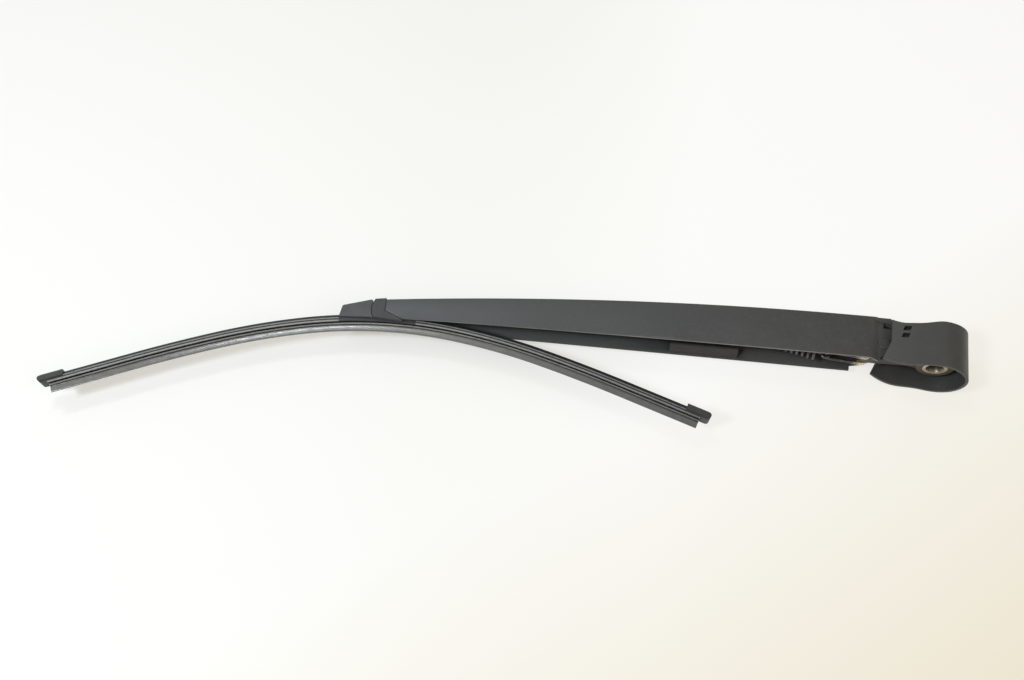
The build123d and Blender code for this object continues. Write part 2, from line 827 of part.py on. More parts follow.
# Nose cover over the outer end of the connector base
nose_back_radius = adapter_end_radius + nose_gap
nose_back_x = pivot_x - 0.8 * adapter_end_radius
nose_seat = bead_height + 2 * nose_seat_gap


def nose_side(inset, drop):
    """Side view of the nose cover, shrunk by a wall and drawn down past its seat."""
    front = blade_point(inset - nose_outer_end, nose_seat - drop)
    with BuildSketch(Plane.XY) as side:
        with BuildLine():
            Polyline(
                front,
                (nose_front_x + inset, nose_front_top - inset),
                (nose_back_x, nose_back_top + nose_back_slope - inset),
                (nose_back_x, adapter_low - drop),
                close=True,
            )
        make_face()
        with Locations((pivot_x, pivot_y)):
            Circle(nose_back_radius + inset, mode=Mode.SUBTRACT)
    return side.sketch


def nose_plan(inset):
    """Plan of the nose cover, shrunk by a wall."""
    with BuildSketch(Plane.XZ) as plan:
        with BuildLine():
            Polyline(
                (nose_front_x - 2, nose_front_half - inset),
                (nose_back_x, nose_back_half - inset),
                (nose_back_x, inset - nose_back_half),
                (nose_front_x - 2, inset - nose_front_half),
                close=True,
            )
        make_face()
    return plan.sketch


with BuildPart() as nose_room:
    extrude(nose_side(nose_wall, 3), amount=20, both=True)
    extrude(nose_plan(nose_wall), amount=80, both=True, mode=Mode.INTERSECT)
with BuildPart() as nose:
    extrude(nose_side(0, 0), amount=20, both=True)
    extrude(nose_plan(0), amount=80, both=True, mode=Mode.INTERSECT)
    fillet(nose.edges().filter_by(Axis.Z).sort_by(Axis.Y)[-2:], 1.2)
    add(nose_room.part, mode=Mode.SUBTRACT)
    blade_sweep(
        -plate_outer_end - fit_gap,
        0,
        ((0, 0), (plate_half, 0), (plate_half, base_top + 2 * fit_gap), (0, base_top + 2 * fit_gap)),
        mode=Mode.SUBTRACT,
    )
    claw_room = bead_height + nose_seat_gap
    blade_sweep(
        -nose_outer_end - 2,
        0,
        ((0, 0), (spoiler_half + 2 * fit_gap, 0), (spoiler_half + 2 * fit_gap, claw_room), (0, claw_room)),
        mode=Mode.SUBTRACT,
    )
nose.part.label = "nose_cover"
export_step(nose.part, "parts/nose_cover.step")

# Arm adapter: a saddle in the arm's tip whose cheeks reach past the arm's end
roof_slope = tan(radians(10.8))
tip_gap = 0.3
with BuildPart() as adapter:
    roof_y = top_at_tip - sheet - 3 * fit_gap
    with BuildSketch(Plane.XY):
        with BuildLine():
            end_high, end_low = (
                (pivot_x - sqrt(adapter_end_radius**2 - (y - pivot_y) ** 2), y)
                for y in (adapter_top, adapter_low)
            )
            Polyline(
                end_high,
                (arm_tip_x - tip_gap, top_at_tip + 0.2),
                (tip_corner[0] - tip_gap, tip_corner[1] - tip_gap),
                (low_tip_x, low_at_tip - 0.45),
                (low_tip_x + 0.8, low_at_tip - 0.9),
                end_low,
            )
            ThreePointArc(end_low, (pivot_x - adapter_end_radius, pivot_y), end_high)
        make_face()
    extrude(amount=tip_half_width - 0.05, both=True)
    with BuildSketch(Plane.XY):
        with BuildLine():
            Polyline(
                (arm_tip_x - 3, roof_y - 3 * roof_slope),
                (adapter_inner_x, roof_y + (adapter_inner_x - arm_tip_x) * roof_slope),
                (adapter_inner_x, low_at_tip + 4),
                (low_tip_x, low_at_tip - 0.2),
                (arm_tip_x - 3, low_at_tip - 0.5),
                close=True,
            )
        make_face()
    extrude(amount=adapter_half, both=True)
    with BuildSketch(Plane.XY):
        with BuildLine():
            Polyline(
                (pivot_x - adapter_end_radius + 2.6, adapter_top - 1.4),
                (arm_tip_x - 2, roof_y - 1.4 - 2 * roof_slope),
                (adapter_inner_x + 1, roof_y - 1.3 + (adapter_inner_x + 1 - arm_tip_x) * roof_slope),
                (adapter_inner_x + 1, -60),
                (pivot_x - adapter_end_radius - 2, -60),
                (pivot_x - adapter_end_radius - 2, adapter_low + 4.2),
                (pivot_x - adapter_end_radius + 2.2, adapter_low + 4.2),
                close=True,
            )
        make_face()
    extrude(amount=adapter_half - adapter_wall, both=True, mode=Mode.SUBTRACT)
    round_bar(pivot_x, pivot_y, pivot_pin_radius + running_clearance, -20, 20, Mode.SUBTRACT)
adapter.part.label = "arm_adapter"
export_step(adapter.part, "parts/arm_adapter.step")
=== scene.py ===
import math

import bpy
from mathutils import Matrix, Vector


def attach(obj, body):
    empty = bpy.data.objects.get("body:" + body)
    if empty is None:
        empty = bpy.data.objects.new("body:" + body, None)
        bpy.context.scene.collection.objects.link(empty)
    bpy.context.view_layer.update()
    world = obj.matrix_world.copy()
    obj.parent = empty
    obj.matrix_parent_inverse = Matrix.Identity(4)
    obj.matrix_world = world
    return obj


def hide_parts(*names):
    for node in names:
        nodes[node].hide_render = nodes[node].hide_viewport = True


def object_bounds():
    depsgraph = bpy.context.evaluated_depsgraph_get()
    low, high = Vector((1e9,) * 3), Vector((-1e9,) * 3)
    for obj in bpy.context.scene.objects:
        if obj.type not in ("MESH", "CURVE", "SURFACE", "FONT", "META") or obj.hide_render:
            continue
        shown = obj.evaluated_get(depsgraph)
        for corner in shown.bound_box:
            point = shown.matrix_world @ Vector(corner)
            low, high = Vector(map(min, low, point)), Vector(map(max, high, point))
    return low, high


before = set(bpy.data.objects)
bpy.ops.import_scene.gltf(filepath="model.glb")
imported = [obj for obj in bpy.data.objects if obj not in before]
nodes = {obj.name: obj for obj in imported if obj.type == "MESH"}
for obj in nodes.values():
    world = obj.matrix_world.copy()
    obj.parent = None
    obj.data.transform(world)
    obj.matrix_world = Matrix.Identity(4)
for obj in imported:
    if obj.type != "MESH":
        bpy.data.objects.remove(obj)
cad_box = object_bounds()
scene = bpy.context.scene
mm = 0.001

# Blade curve and the ends of its strips, as in the solids: millimetres, and the tilt in degrees
blade_x = -321.4
blade_y = -41.8
blade_tilt = 7.2
blade_arcs = ((45.0, 253.0), (50.0, 373.0), (50.0, 900.0))
rubber_half_length = 192.0
cap_start = 183.0
outer_spoiler_end = -24.6
inner_spoiler_start = 20.05
fit_gap = 0.05

# Boss and bush: radii where a finish changes, and the height of the boss face, in millimetres
boss_edge = 10.4
boss_face_y = -5.5
bore_edge = 4.3
bush_face_edge = 5.3

# Spring and link, in millimetres as in the solids
link_pin = Vector((-41.5, -5.8, 0))
link_hook_radius = 2.7
link_wire_radius = 1.0
link_leg_z = 4.1
link_bend_x = -63.0
spring_pin = Vector((-128.0, 0.5, 0))
spring_pin_radius = 2.0
spring_wire_radius = 0.9
spring_radius = 4.3
spring_pitch = 3.2

# Room between the coils and each loop, less than the solid's, to show as many coils as the photo
spring_end_room = 3.5

# Round wire: steps in a turn, and the drawn share of its full radius
steps_per_turn = 24
wire_share = 0.98

# Places on the part where a finish or a painted light or shade changes, and how far the painted shade in a
# recess looks for walls, in millimetres
arm_tip_x, arm_end_x = -320.0, 0.0
tab_shade_full_z, tab_shade_end_z = -3.0, 1.0
painted_shade_reach = 30
highlight_full_x, highlight_faint_x = -330.0, -130.0
lit_zinc_start_x, lit_zinc_full_x = -47.0, -42.5


# Shader helpers
class Shader:
    """A material under construction: its node tree and its main shader."""

    def __init__(self, name):
        self.material = bpy.data.materials.new(name)
        self.material.use_nodes = True
        self.tree = self.material.node_tree
        self.main = self.tree.nodes["Principled BSDF"]

    def add(self, kind, inputs=None, **settings):
        node = self.tree.nodes.new(kind)
        for key, value in settings.items():
            setattr(node, key, value)
        for key, value in (inputs or {}).items():
            self.put(node.inputs[key], value)
        return node

    def put(self, socket, value):
        if isinstance(value, bpy.types.NodeSocket):
            self.tree.links.new(value, socket)
        else:
            socket.default_value = value

    def set(self, **values):
        """Sets the main shader's own sockets, such as Base_Color or Roughness."""
        for key, value in values.items():
            self.put(self.main.inputs[key.replace("_", " ")], value)

    def place(self, scale=(1.0, 1.0, 1.0)):
        """Position in the part's frame, in millimetres times a scale."""
        coord = self.add("ShaderNodeTexCoord")
        mapping = self.add("ShaderNodeMapping", {"Vector": coord.outputs["Object"]})
        mapping.inputs["Scale"].default_value = [1000 * s for s in scale]
        return mapping.outputs["Vector"]

    def noise(self, where, scale, detail=4.0, roughness=0.55):
        """Noise value, with the scale in lumps per millimetre."""
        inputs = {"Vector": where, "Scale": scale, "Detail": detail, "Roughness": roughness}
        return self.add("ShaderNodeTexNoise", inputs).outputs["Fac"]

    def ramp(self, value, low, high, from_low=0.3, from_high=0.7):
        """Maps one range of a value to another."""
        inputs = {"Value": value, "To Min": low, "To Max": high}
        inputs.update({"From Min": from_low, "From Max": from_high})
        return self.add("ShaderNodeMapRange", inputs).outputs["Result"]

    def mix(self, share, first, second):
        """Mixes two colours."""
        node = self.add("ShaderNodeMix", data_type="RGBA")
        self.put(node.inputs[0], share)
        self.put(node.inputs[6], first)
        self.put(node.inputs[7], second)
        return node.outputs[2]

    def math(self, operation, first, second=0.0):
        node = self.add("ShaderNodeMath", operation=operation)
        self.put(node.inputs[0], first)
        self.put(node.inputs[1], second)
        return node.outputs[0]

    def axis(self, where, name):
        """One coordinate of a position."""
        return self.add("ShaderNodeSeparateXYZ", {"Vector": where}).outputs[name]

    def reach(self, where):
        """Distance from the spindle's axis."""
        flat = {"X": self.axis(where, "X"), "Z": self.axis(where, "Z")}
        inputs = {0: self.add("ShaderNodeCombineXYZ", flat).outputs[0]}
        return self.add("ShaderNodeVectorMath", inputs, operation="LENGTH").outputs["Value"]

    def bump(self, height, strength, distance, edge=0.0):
        """Fine relief, with its distance in millimetres, over edges rounded by a radius."""
        inputs = {"Height": height, "Strength": strength, "Distance": distance * mm}
        node = self.add("ShaderNodeBump", inputs)
        if edge:
            rounded = self.add("ShaderNodeBevel", {"Radius": edge * mm}, samples=8)
            self.put(node.inputs["Normal"], rounded.outputs["Normal"])
        self.set(Normal=node.outputs["Normal"])


def satin_paint():
    """Satin paint on sheet: orange peel, specks, painted light on fold faces turned towards the head,
    painted highlight with scuffed paint on the cut edges, painted shade in the recess and on the tab faces.
    """
    s = Shader("satin_paint")
    where = s.place()
    cloud = s.noise(where, 0.05, 5.0, 0.6)
    specks = s.noise(where, 0.4, 6.0, 0.72)
    peel = s.noise(where, 1.6, 2.0)
    # Lighter and bluer towards the tip, darker and warmer towards the head: a painted reflection of
    # daylight from the window side
    along = s.ramp(s.axis(where, "X"), 0.0, 1.0, arm_tip_x, arm_end_x)
    tone = s.mix(along, (0.072, 0.077, 0.081, 1), (0.039, 0.037, 0.034, 1))
    tone = s.mix(s.ramp(cloud, 0.0, 0.4), tone, (0.062, 0.063, 0.063, 1))
    tone = s.mix(s.ramp(specks, 0.0, 0.4, 0.5, 0.72), tone, (0.085, 0.086, 0.084, 1))
    # Painted shade: recesses that the shade would darken, found by how open each point is, get a dark
    # streaked tone
    nearby = {"Distance": painted_shade_reach * mm}
    openness = s.add("ShaderNodeAmbientOcclusion", nearby, samples=8, only_local=True)
    painted_hollow_shade = s.ramp(openness.outputs["AO"], 0.6, 0.0, 0.3, 0.65)
    facing = s.add("ShaderNodeTexCoord").outputs["Normal"]
    # Painted light: faces turned towards the head, which the lamps leave dark, are made paler
    painted_fold_light = s.ramp(s.axis(facing, "X"), 0.0, 0.9, 0.25, 0.45)
    tone = s.mix(painted_fold_light, tone, (0.082, 0.079, 0.074, 1))
    # Faces turned to the glass side below the middle, the tab faces among them, get the same painted shade
    glass_side = s.ramp(s.axis(facing, "Y"), 0.85, 0.0, -0.9, -0.4)
    below = s.ramp(s.axis(where, "Z"), 1.0, 0.0, tab_shade_full_z, tab_shade_end_z)
    painted_tab_shade = s.math("MULTIPLY", glass_side, below)
    # Painted highlight on the cut edges turned to the glass side, with scuffed paint, made paler in patches
    cut_edge = s.math("SUBTRACT", glass_side, painted_tab_shade)
    rubbed_and_lit = s.math("MULTIPLY", cut_edge, s.ramp(cloud, 0.4, 1.1))
    tone = s.mix(rubbed_and_lit, tone, (0.24, 0.235, 0.225, 1))
    streaks = s.noise(s.place((0.12, 1.0, 1.0)), 0.5, 4.0)
    painted_shade_tone = s.mix(s.ramp(streaks, 0.0, 1.0), (0.016, 0.015, 0.013, 1), (0.032, 0.03, 0.026, 1))
    # The painted shade laid over the paint in the recess and on the tab faces
    s.set(Base_Color=s.mix(s.math("MAXIMUM", painted_hollow_shade, painted_tab_shade), tone, painted_shade_tone))
    s.set(Roughness=s.ramp(cloud, 0.44, 0.54))
    s.bump(peel, 0.15, 0.15, edge=0.7)
    return s.material


def cast_coat():
    """The head's satin black coat over a cast surface, with the boss face turned bare."""
    s = Shader("cast_coat")
    where = s.place()
    cloud = s.noise(where, 0.09, 5.0, 0.6)
    specks = s.noise(where, 0.8, 3.0, 0.7)
    grain = s.noise(where, 2.2, 3.0)
    reach = s.reach(where)
    on_boss = s.math("LESS_THAN", reach, boss_edge)
    level = s.math("ABSOLUTE", s.math("SUBTRACT", s.axis(where, "Y"), boss_face_y))
    bare = s.math("MULTIPLY", on_boss, s.math("LESS_THAN", level, 0.3))
    rings = s.noise(s.add("ShaderNodeCombineXYZ", {"X": reach}).outputs[0], 1.5, 3.0)
    metal = s.mix(s.ramp(rings, 0.0, 1.0), (0.085, 0.07, 0.05, 1), (0.15, 0.125, 0.09, 1))
    paint = s.mix(s.ramp(cloud, 0.0, 0.5), (0.047, 0.047, 0.045, 1), (0.064, 0.063, 0.06, 1))
    paint = s.mix(s.ramp(specks, 0.0, 0.25, 0.55, 0.75), paint, (0.075, 0.075, 0.073, 1))
    s.set(Base_Color=s.mix(bare, paint, metal), Metallic=s.math("MULTIPLY", bare, 0.6))
    s.set(Roughness=s.ramp(cloud, 0.42, 0.54))
    s.bump(grain, 0.2, 0.12, edge=0.4)
    return s.material


def moulded_plastic(name, low, high):
    """Moulded plastic with a fine spark-eroded grain."""
    s = Shader(name)
    where = s.place()
    grain = s.noise(where, 2.6, 3.0, 0.6)
    cloud = s.noise(where, 0.12, 4.0)
    tone = s.mix(s.ramp(cloud, 0.0, 1.0), low, high)
    pale = [2 * c for c in high[:3]] + [1]
    s.set(Base_Color=s.mix(s.ramp(grain, 0.0, 0.35, 0.5, 0.75), tone, pale))
    s.set(Roughness=s.ramp(grain, 0.42, 0.58))
    s.bump(grain, 0.4, 0.2)
    return s.material


def extruded_rubber(name, dark, light, gloss, shine, bloom_scale):
    """Extruded rubber: dark in the grooves, paler on edges and ridges as painted highlight with some
    scuffing, fading towards the head end where the window's light falls less, drawn lines along its length.
    """
    s = Shader(name)
    highlight_and_wear = s.add("ShaderNodeAttribute", attribute_name="highlight_and_wear").outputs["Fac"]
    drawn = s.noise(s.place((0.1, 1.0, 1.0)), 1.0, 4.0)
    where = s.place()
    bloom = s.noise(where, bloom_scale, 5.0, 0.65)
    # Painted light: the highlights fade towards the head end, where the window's light falls less
    fading = s.ramp(s.axis(where, "X"), 1.0, 0.6, highlight_full_x, highlight_faint_x)
    highlight_and_worn = s.math("MULTIPLY", highlight_and_wear, fading)
    share = s.math("MULTIPLY", highlight_and_worn, s.ramp(bloom, 0.75, 1.15))
    s.set(Base_Color=s.mix(share, dark, light))
    s.set(Roughness=s.ramp(drawn, gloss - 0.04, gloss + 0.1))
    s.main.inputs["Specular IOR Level"].default_value = shine
    s.bump(drawn, 0.12, 0.08)
    return s.material


def bare_metal(name, dark, light, roughness, scale):
    """Plated or turned steel with a cloudy tone and fine marks."""
    s = Shader(name)
    cloud = s.noise(s.place(), scale, 5.0, 0.6)
    marks = s.noise(s.place((1.0, 6.0, 1.0)), 1.2, 2.0)
    s.main.inputs["Metallic"].default_value = 1.0
    s.set(Base_Color=s.mix(s.ramp(cloud, 0.0, 1.0), dark, light))
    s.set(Roughness=s.ramp(marks, roughness - 0.08, roughness + 0.1))
    s.bump(marks, 0.1, 0.08)
    return s.material


def bush_metal():
    """The bush's turned steel, bright on its face and darker brown in the bore."""
    s = Shader("bush_metal")
    where = s.place()
    cloud = s.noise(where, 0.3, 5.0, 0.6)
    face = s.ramp(s.reach(where), 0.0, 1.0, bore_edge, bush_face_edge)
    bore_brown = s.mix(s.ramp(cloud, 0.0, 1.0), (0.09, 0.075, 0.055, 1), (0.17, 0.145, 0.11, 1))
    bright = s.mix(s.ramp(cloud, 0.0, 1.0), (0.5, 0.44, 0.33, 1), (0.62, 0.56, 0.44, 1))
    s.set(Base_Color=s.mix(face, bore_brown, bright), Metallic=s.ramp(face, 0.5, 1.0, 0.0, 1.0))
    s.set(Roughness=s.ramp(cloud, 0.3, 0.46))
    s.bump(s.noise(where, 1.5, 2.0), 0.1, 0.08)
    return s.material


def drawn_wire():
    """Spring wire: dark along its run, partly phosphate and partly painted shade inside the arm; bright
    yellow zinc at the hooks, painted lit where they stand out of the arm.
    """
    s = Shader("drawn_wire")
    where = s.place()
    cloud = s.noise(where, 0.5, 5.0, 0.6)
    # Painted light and shade: dark inside the arm, bright yellow zinc where the hooks stand in the light
    rubbed_and_lit = s.ramp(s.axis(where, "X"), 0.0, 1.0, lit_zinc_start_x, lit_zinc_full_x)
    shaded_grey = s.mix(s.ramp(cloud, 0.0, 1.0), (0.06, 0.06, 0.066, 1), (0.15, 0.147, 0.152, 1))
    yellow = s.mix(s.ramp(cloud, 0.0, 1.0), (0.55, 0.47, 0.28, 1), (0.9, 0.83, 0.62, 1))
    s.set(Base_Color=s.mix(rubbed_and_lit, shaded_grey, yellow), Metallic=s.ramp(cloud, 0.8, 0.95))
    s.set(Roughness=s.ramp(cloud, 0.3, 0.45))
    s.bump(s.noise(where, 2.0, 2.0), 0.1, 0.06)
    return s.material


paint = satin_paint()
coat = cast_coat()
nose_plastic = moulded_plastic("nose_plastic", (0.054, 0.054, 0.055, 1), (0.073, 0.073, 0.075, 1))
plastic = moulded_plastic("moulded_plastic", (0.037, 0.037, 0.038, 1), (0.051, 0.051, 0.052, 1))
cap_plastic = moulded_plastic("cap_plastic", (0.024, 0.024, 0.023, 1), (0.038, 0.038, 0.036, 1))
bush_plastic = moulded_plastic("bush_plastic", (0.3, 0.28, 0.24, 1), (0.4, 0.38, 0.33, 1))
spoiler_rubber = extruded_rubber(
    "spoiler_rubber",
    (0.02, 0.021, 0.023, 1),
    (0.29, 0.287, 0.28, 1),
    gloss=0.42,
    shine=0.34,
    bloom_scale=0.3,
)
lip_rubber = extruded_rubber(
    "lip_rubber",
    (0.02, 0.02, 0.021, 1),
    (0.31, 0.3, 0.278, 1),
    gloss=0.19,
    shine=0.9,
    bloom_scale=0.25,
)
turned_steel = bare_metal("turned_steel", (0.5, 0.44, 0.33, 1), (0.62, 0.56, 0.44, 1), 0.36, 0.3)
dark_steel = bare_metal("dark_steel", (0.16, 0.15, 0.14, 1), (0.3, 0.29, 0.27, 1), 0.38, 0.4)
rail_steel = bare_metal("rail_steel", (0.05, 0.05, 0.055, 1), (0.1, 0.1, 0.105, 1), 0.42, 0.3)
bush_steel = bush_metal()
wire = drawn_wire()

finishes = {
    paint: ("arm_channel", "hinge_pin"),
    coat: ("pivot_head",),
    nose_plastic: ("nose_cover",),
    plastic: ("nut_cover", "arm_adapter", "connector_base"),
    cap_plastic: ("outer_end_cap", "inner_end_cap"),
    bush_plastic: ("hinge_bush_upper", "hinge_bush_lower"),
    bush_steel: ("pivot_bush",),
    turned_steel: ("link_anchor_pin",),
    dark_steel: ("spring_anchor_pin", "blade_pivot_pin"),
    rail_steel: ("upper_rail", "lower_rail"),
    wire: ("tension_spring", "tension_link"),
    lip_rubber: ("wiper_rubber",),
    spoiler_rubber: ("outer_spoiler", "inner_spoiler"),
}
for material, names in finishes.items():
    for name in names:
        nodes[name].data.materials.clear()
        nodes[name].data.materials.append(material)


# Rounded edges on the rigid pieces
def soften(name, width):
    """Joins the imported facets and rounds the sharp edges by a small radius."""
    weld = nodes[name].modifiers.new("weld", "WELD")
    weld.merge_threshold = 0.002 * mm
    bevel = nodes[name].modifiers.new("edge", "BEVEL")
    bevel.width = width * mm
    bevel.segments = 2
    bevel.limit_method = "ANGLE"
    bevel.angle_limit = math.radians(35)
    bevel.harden_normals = True


for name, width in (("arm_channel", 0.25), ("nose_cover", 0.2), ("arm_adapter", 0.15)):
    soften(name, width)
for name in ("outer_end_cap", "inner_end_cap"):
    soften(name, 0.5)


# Mesh helpers
def blade_station(distance):
    """Point on the wiping edge and the heading there, at a distance along the curve."""
    x, y, heading = blade_x, blade_y, math.radians(blade_tilt)
    sign = 1 if distance >= 0 else -1
    left = abs(distance)
    for length, radius in blade_arcs:
        step = min(left, length)
        turned = heading - sign * step / radius
        x += radius * (math.sin(heading) - math.sin(turned))
        y += radius * (math.cos(turned) - math.cos(heading))
        heading = turned
        left -= step
    return x + sign * left * math.cos(heading), y + sign * left * math.sin(heading), heading


def other_side(section):
    """A section mirrored to the other side of the blade."""
    return [(-z, n, w) for z, n, w in reversed(section)]


def both_sides(half):
    """Whole section from its right half, which starts and ends in the middle."""
    return list(half) + other_side(half)[1:-1]


class MeshParts:
    """Points and faces of one piece, gathered from several runs."""

    def __init__(self):
        self.points, self.faces, self.highlight_and_wear = [], [], []

    def skin(self, rings, closed=False):
        """Joins rings of points to a tube, with caps unless it is closed."""
        first, count, width = len(self.points), len(rings), len(rings[0])
        for ring in rings:
            self.points.extend(ring)
        for i in range(count if closed else count - 1):
            here, following = first + i * width, first + (i + 1) % count * width
            for j in range(width):
                k = (j + 1) % width
                self.faces.append((here + j, here + k, following + k, following + j))
        if not closed:
            last = first + (count - 1) * width
            self.faces.append(tuple(reversed(range(first, first + width))))
            self.faces.append(tuple(range(last, last + width)))

    def extrude_on_blade(self, start, end, section, spacing=1.5):
        """Runs a section of half-width, height and painted highlight (with scuffing) along the blade's
        curve.
        """
        count = max(2, round((end - start) / spacing))
        outline = list(reversed(section))
        rings = []
        for i in range(count + 1):
            x, y, heading = blade_station(start + (end - start) * i / count)
            side, rise = -math.sin(heading), math.cos(heading)
            rings.append([Vector((x + n * side, y + n * rise, z)) for z, n, w in outline])
            self.highlight_and_wear.extend(w for z, n, w in outline)
        self.skin(rings)

    def tube(self, path, radius, closed=False, sides=12):
        """Runs round wire along a path."""
        rings, normal, count = [], None, len(path)
        for i, here in enumerate(path):
            before = path[i - 1] if i or closed else here
            after = path[(i + 1) % count] if i < count - 1 or closed else here
            ahead = (after - before).normalized()
            normal = normal or ahead.orthogonal()
            normal = (normal - ahead * normal.dot(ahead)).normalized()
            across = ahead.cross(normal)
            turns = [2 * math.pi * j / sides for j in range(sides)]
            rings.append([here + radius * (normal * math.cos(t) + across * math.sin(t)) for t in turns])
        self.skin(rings, closed)

    def piece(self, name, material, body, node):
        """Makes the object, which rides on a body and stands for a node."""
        mesh = bpy.data.meshes.new(name)
        mesh.from_pydata([p * mm for p in self.points], [], self.faces)
        mesh.materials.append(material)
        if self.highlight_and_wear:
            mesh.attributes.new("highlight_and_wear", "FLOAT", "POINT").data.foreach_set("value", self.highlight_and_wear)
        mesh.shade_smooth()
        mesh.set_sharp_from_angle(angle=math.radians(40))
        obj = bpy.data.objects.new(name, mesh)
        scene.collection.objects.link(obj)
        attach(obj, body)
        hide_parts(node)


def arc(centre, first, second, start, end, steps):
    """Points on an arc in the plane of two radius vectors."""
    turns = [math.radians(start + (end - start) * i / steps) for i in range(steps + 1)]
    return [centre + first * math.cos(t) + second * math.sin(t) for t in turns]


# Spoilers: rail slot, claw, groove, edge bead, slope and ridge, with lugs under the caps
# Third value of each point: its painted highlight, with some scuffing
spoiler_section = (
    (0.0, 7.2, 0.0),
    (2.55, 7.2, 0.0),
    (2.55, 6.55, 0.0),
    (3.75, 6.55, 0.0),
    (3.75, 5.55, 0.0),
    (2.8, 5.55, 0.0),
    (2.8, 4.75, 0.0),
    (4.0, 4.62, 0.05),
    (4.2, 4.66, 0.6),
    (4.3, 4.8, 1.0),
    (4.3, 5.55, 1.0),
    (4.22, 5.7, 0.6),
    (3.98, 5.8, 0.0),
    (3.85, 5.95, 0.0),
    (3.87, 6.3, 0.0),
    (4.1, 6.45, 0.4),
    (4.28, 6.6, 1.0),
    (4.28, 6.95, 1.0),
    (4.12, 7.15, 0.3),
    (3.75, 7.5, 0.0),
    (3.3, 8.1, 0.0),
    (2.95, 8.75, 0.0),
    (2.68, 9.3, 0.03),
    (2.35, 9.55, 0.06),
    (1.2, 9.75, 0.06),
    (0.0, 9.8, 0.06),
)
lug_section = (
    (2.8, 5.55, 0.0),
    (2.8, 4.75, 0.0),
    (4.0, 4.62, 0.05),
    (4.2, 4.66, 0.6),
    (4.3, 4.8, 0.9),
    (4.3, 5.6, 0.7),
    (4.0, 6.04, 0.0),
    (3.76, 6.04, 0.0),
    (3.76, 5.55, 0.0),
)
strip_end = cap_start - fit_gap
for name, start, end, lug_start, lug_end in (
    ("outer_spoiler", -strip_end, outer_spoiler_end, -rubber_half_length, -strip_end),
    ("inner_spoiler", inner_spoiler_start, strip_end, strip_end, rubber_half_length),
):
    strip = MeshParts()
    strip.extrude_on_blade(start, end, both_sides(spoiler_section))
    strip.extrude_on_blade(lug_start, lug_end, lug_section)
    strip.extrude_on_blade(lug_start, lug_end, other_side(lug_section))
    strip.piece(f"{name}_strip", spoiler_rubber, "blade", name)

# Wiping rubber: lip with a slight swell, shoulder, rail grooves and head
# Third value of each point: its painted highlight with some scuffing, which also makes the lip's face paler
rubber_section = (
    (0.0, 0.0, 0.3),
    (0.3, 0.0, 0.35),
    (0.38, 0.12, 0.38),
    (0.46, 0.7, 0.43),
    (0.54, 1.4, 0.46),
    (0.6, 2.0, 0.48),
    (0.64, 2.6, 0.48),
    (0.65, 3.1, 0.45),
    (0.63, 3.4, 0.35),
    (0.75, 3.6, 0.12),
    (1.6, 3.68, 0.2),
    (2.05, 3.72, 0.6),
    (2.2, 3.85, 1.0),
    (2.2, 4.4, 1.0),
    (2.12, 4.52, 0.6),
    (1.9, 4.58, 0.0),
    (0.9, 4.6, 0.0),
    (0.9, 5.15, 0.0),
    (2.0, 5.17, 0.0),
    (2.0, 5.5, 0.0),
    (1.1, 5.5, 0.0),
    (1.1, 6.55, 0.0),
    (2.5, 6.55, 0.0),
    (2.5, 7.15, 0.0),
    (0.0, 7.15, 0.0),
)
strip = MeshParts()
strip.extrude_on_blade(-rubber_half_length, rubber_half_length, both_sides(rubber_section))
strip.piece("wiping_strip", lip_rubber, "blade", "wiper_rubber")

# Link: one round wire, hooked under the head's pin at both ends
ahead, upward, across = Vector((1, 0, 0)), Vector((0, 1, 0)), Vector((0, 0, 1))
link_level = link_pin.y - link_hook_radius
leg_end = link_bend_x + link_leg_z
leg_points_x = (-46.0, -52.0)
half_path = []
for side in (1, -1):
    centre = link_pin + across * (side * link_leg_z)
    hook = arc(centre, ahead * link_hook_radius, upward * link_hook_radius, 110, -90, 20)
    half_path.append(hook + [Vector((x, link_level, side * link_leg_z)) for x in leg_points_x])
bend = arc(Vector((leg_end, link_level, 0)), across * link_leg_z, -ahead * link_leg_z, 0, 180, 20)
link_parts = MeshParts()
link_parts.tube(half_path[0] + bend + half_path[1][::-1], link_wire_radius * wire_share)
link_parts.piece("link_wire", wire, "link", "tension_link")

# Spring: close-wound round wire with a loop at each end
spring_start = Vector((link_bend_x, link_level, 0))
run = spring_pin - spring_start
along = run.normalized()
level = along.cross(across)
turns = int((run.length - 2 * spring_end_room) / spring_pitch)
coil_start = (run.length - turns * spring_pitch) / 2
link_loop = link_wire_radius + spring_wire_radius + fit_gap
pin_loop = spring_pin_radius + spring_wire_radius + fit_gap
coil = []
for i in range(turns * steps_per_turn + 1):
    turn = 2 * math.pi * i / steps_per_turn
    axis_point = spring_start + along * (coil_start + spring_pitch * i / steps_per_turn)
    coil.append(axis_point + spring_radius * (across * math.cos(turn) + level * math.sin(turn)))
lead_in = [spring_start + along * link_loop, spring_start + along * coil_start]
lead_out = [spring_start + along * (run.length - coil_start), spring_pin - along * pin_loop]
spring_parts = MeshParts()
spring_parts.tube(lead_in + coil + lead_out, spring_wire_radius * wire_share)
for centre, radius in ((spring_start, link_loop), (spring_pin, pin_loop)):
    ring = arc(centre, ahead * radius, upward * radius, 0, 360, steps_per_turn)[:-1]
    spring_parts.tube(ring, spring_wire_radius * wire_share, closed=True)
spring_parts.piece("spring_wire", wire, "arm", "tension_spring")

# Floor, partly white by itself so that only the near shadow shows, and less of it on the right
bpy.ops.mesh.primitive_plane_add(size=6.0, location=(-0.25, 0.0, cad_box[0][2]))
floor = bpy.context.object
floor.name = "floor"

# Places on the floor where its tone, its painted falloff and its glow change, in millimetres from its own
# middle
falloff_slope = 1.2
falloff_start, falloff_full = 150.0, 500.0
glow_start_x, glow_full_x = -80.0, 100.0

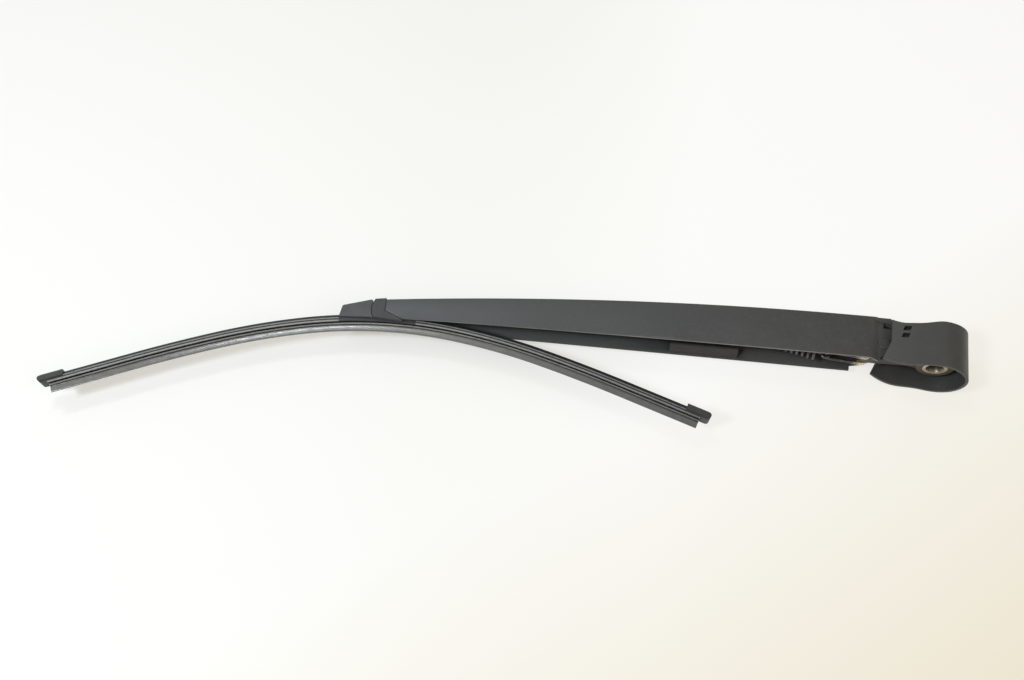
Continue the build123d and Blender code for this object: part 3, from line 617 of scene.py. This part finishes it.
table = Shader("table")
table.set(Roughness=0.9)
table.main.inputs["Specular IOR Level"].default_value = 0.1
where = table.place()
downward = table.math("MULTIPLY", table.axis(where, "Y"), falloff_slope)
slant = table.math("SUBTRACT", table.axis(where, "X"), downward)
# Painted shade: the floor gets warmer and darker towards the lower right, as the light falls off
painted_falloff = table.ramp(slant, 0.0, 1.0, falloff_start, falloff_full)
table.set(Base_Color=table.mix(painted_falloff, (0.955, 0.95, 0.945, 1), (0.9, 0.84, 0.72, 1)))
path = table.add("ShaderNodeLightPath").outputs
mirrored = table.math("ADD", path["Is Glossy Ray"], path["Is Transmission Ray"])
seen = table.math("ADD", path["Is Camera Ray"], mirrored)
# The floor's own glow: stronger to the right, warmer on the left where it tints the blade's shadow beige,
# and tinted by the painted falloff
rightward = table.ramp(table.axis(where, "X"), 0.0, 1.0, glow_start_x, glow_full_x)
glow_tone = table.mix(rightward, (0.905, 0.89, 0.815, 1), (0.99, 0.985, 0.965, 1))
glow_tone = table.mix(painted_falloff, glow_tone, (0.85, 0.79, 0.64, 1))
glow_share = table.ramp(rightward, 0.38, 0.78, 0.0, 1.0)
glow = table.add("ShaderNodeEmission", {"Color": glow_tone, "Strength": 1.0})
blend = table.add("ShaderNodeMixShader", {0: table.math("MULTIPLY", seen, glow_share)})
table.put(blend.inputs[1], table.main.outputs["BSDF"])
table.put(blend.inputs[2], glow.outputs["Emission"])
table.put(table.tree.nodes["Material Output"].inputs["Surface"], blend.outputs["Shader"])
floor.data.materials.append(table.material)

# World: warm room light, paler and brighter towards a window behind on the left
window_way = Vector((-0.45, 0.42, 0.79)).normalized()
world = bpy.data.worlds.new("studio")
scene.world = world
world.use_nodes = True
tree = world.node_tree
sky = tree.nodes["Background"]
coord = tree.nodes.new("ShaderNodeTexCoord")
facing = tree.nodes.new("ShaderNodeVectorMath")
facing.operation = "DOT_PRODUCT"
facing.inputs[1].default_value = window_way
tree.links.new(coord.outputs["Generated"], facing.inputs[0])
tones = tree.nodes.new("ShaderNodeValToRGB")
room, window = tones.color_ramp.elements
room.position, room.color = 0.35, (0.28, 0.245, 0.18, 1)
window.position, window.color = 1.0, (0.6, 0.605, 0.585, 1)
tree.links.new(facing.outputs["Value"], tones.inputs["Fac"])
tree.links.new(tones.outputs["Color"], sky.inputs["Color"])
sky.inputs["Strength"].default_value = 1.0


def lamp(name, target, way, distance, size, power, colour):
    """Rectangular soft light in a direction from a target, facing it."""
    data = bpy.data.lights.new(name, "AREA")
    data.shape = "RECTANGLE"
    data.size, data.size_y = size
    data.energy = power
    data.color = colour
    obj = bpy.data.objects.new(name, data)
    obj.location = Vector(target) * mm + Vector(way).normalized() * distance
    obj.rotation_euler = (-Vector(way)).to_track_quat("-Z", "Y").to_euler()
    scene.collection.objects.link(obj)


blade_middle, lip_sheen, head_middle = (-330, -50, 0), (-355, -44, 0), (-20, 0, 0)
lamp("key", blade_middle, (-0.43, -0.36, 0.82), 1.3, (0.24, 0.24), 10.7, (0.82, 0.895, 1.0))
lamp("window", lip_sheen, (-0.261, 0.278, 0.925), 1.3, (0.3, 0.14), 2.2, (0.9, 0.96, 1.0))
lamp("fill", head_middle, (0.55, -0.3, 0.78), 1.5, (0.9, 0.9), 5.0, (1.0, 0.97, 0.9))

# Camera at the photo's place
camera_place = Vector((-198.74, -276.96, 529.85)) * mm
camera_ahead = Vector((-0.078, 0.417, -0.9056)).normalized()
camera_right = Vector((0.9829, 0.184, 0.0)).normalized()
camera_up = camera_right.cross(camera_ahead)
camera_data = bpy.data.cameras.new("camera")
camera_data.sensor_fit = "HORIZONTAL"
camera_data.sensor_width = 36.0
camera_data.lens = 35.0
camera_data.clip_start = 0.01
camera = bpy.data.objects.new("camera", camera_data)
axes = Matrix((camera_right, camera_up, -camera_ahead)).transposed()
camera.matrix_world = Matrix.Translation(camera_place) @ axes.to_4x4()
scene.collection.objects.link(camera)
scene.camera = camera
scene.view_settings.view_transform = "Standard"
